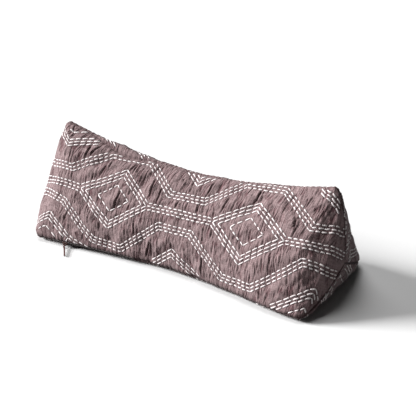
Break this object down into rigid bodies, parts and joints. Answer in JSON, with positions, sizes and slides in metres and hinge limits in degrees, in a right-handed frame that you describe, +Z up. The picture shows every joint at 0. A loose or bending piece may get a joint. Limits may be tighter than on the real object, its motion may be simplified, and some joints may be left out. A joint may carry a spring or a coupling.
{
  "type": "buckwheat neck roll pillow",
  "caption": "Three-sided neck roll pillow of stitched crinkle cloth, filled with hulls and drawn in at its waist, lying on one panel, with a zip in its lower front seam.",
  "frame": {"origin": "middle of the flat patch on which the pillow rests", "axes": "+X runs along the pillow, the front panel with the zip faces -Y, +Z is up"},
  "size_m": [0.493, 0.209, 0.1604],
  "materials": {
    "cover_cloth": "crinkled, matt",
    "zip_coil": "matt",
    "slider_metal": "satin",
    "pull_metal": "satin"
  },
  "bodies": {
    "root": {"cushion": "cover_cloth", "zip_chain": "zip_coil", "zip_slider": "slider_metal", "zip_pull": "pull_metal"}
  },
  "joints": []
}
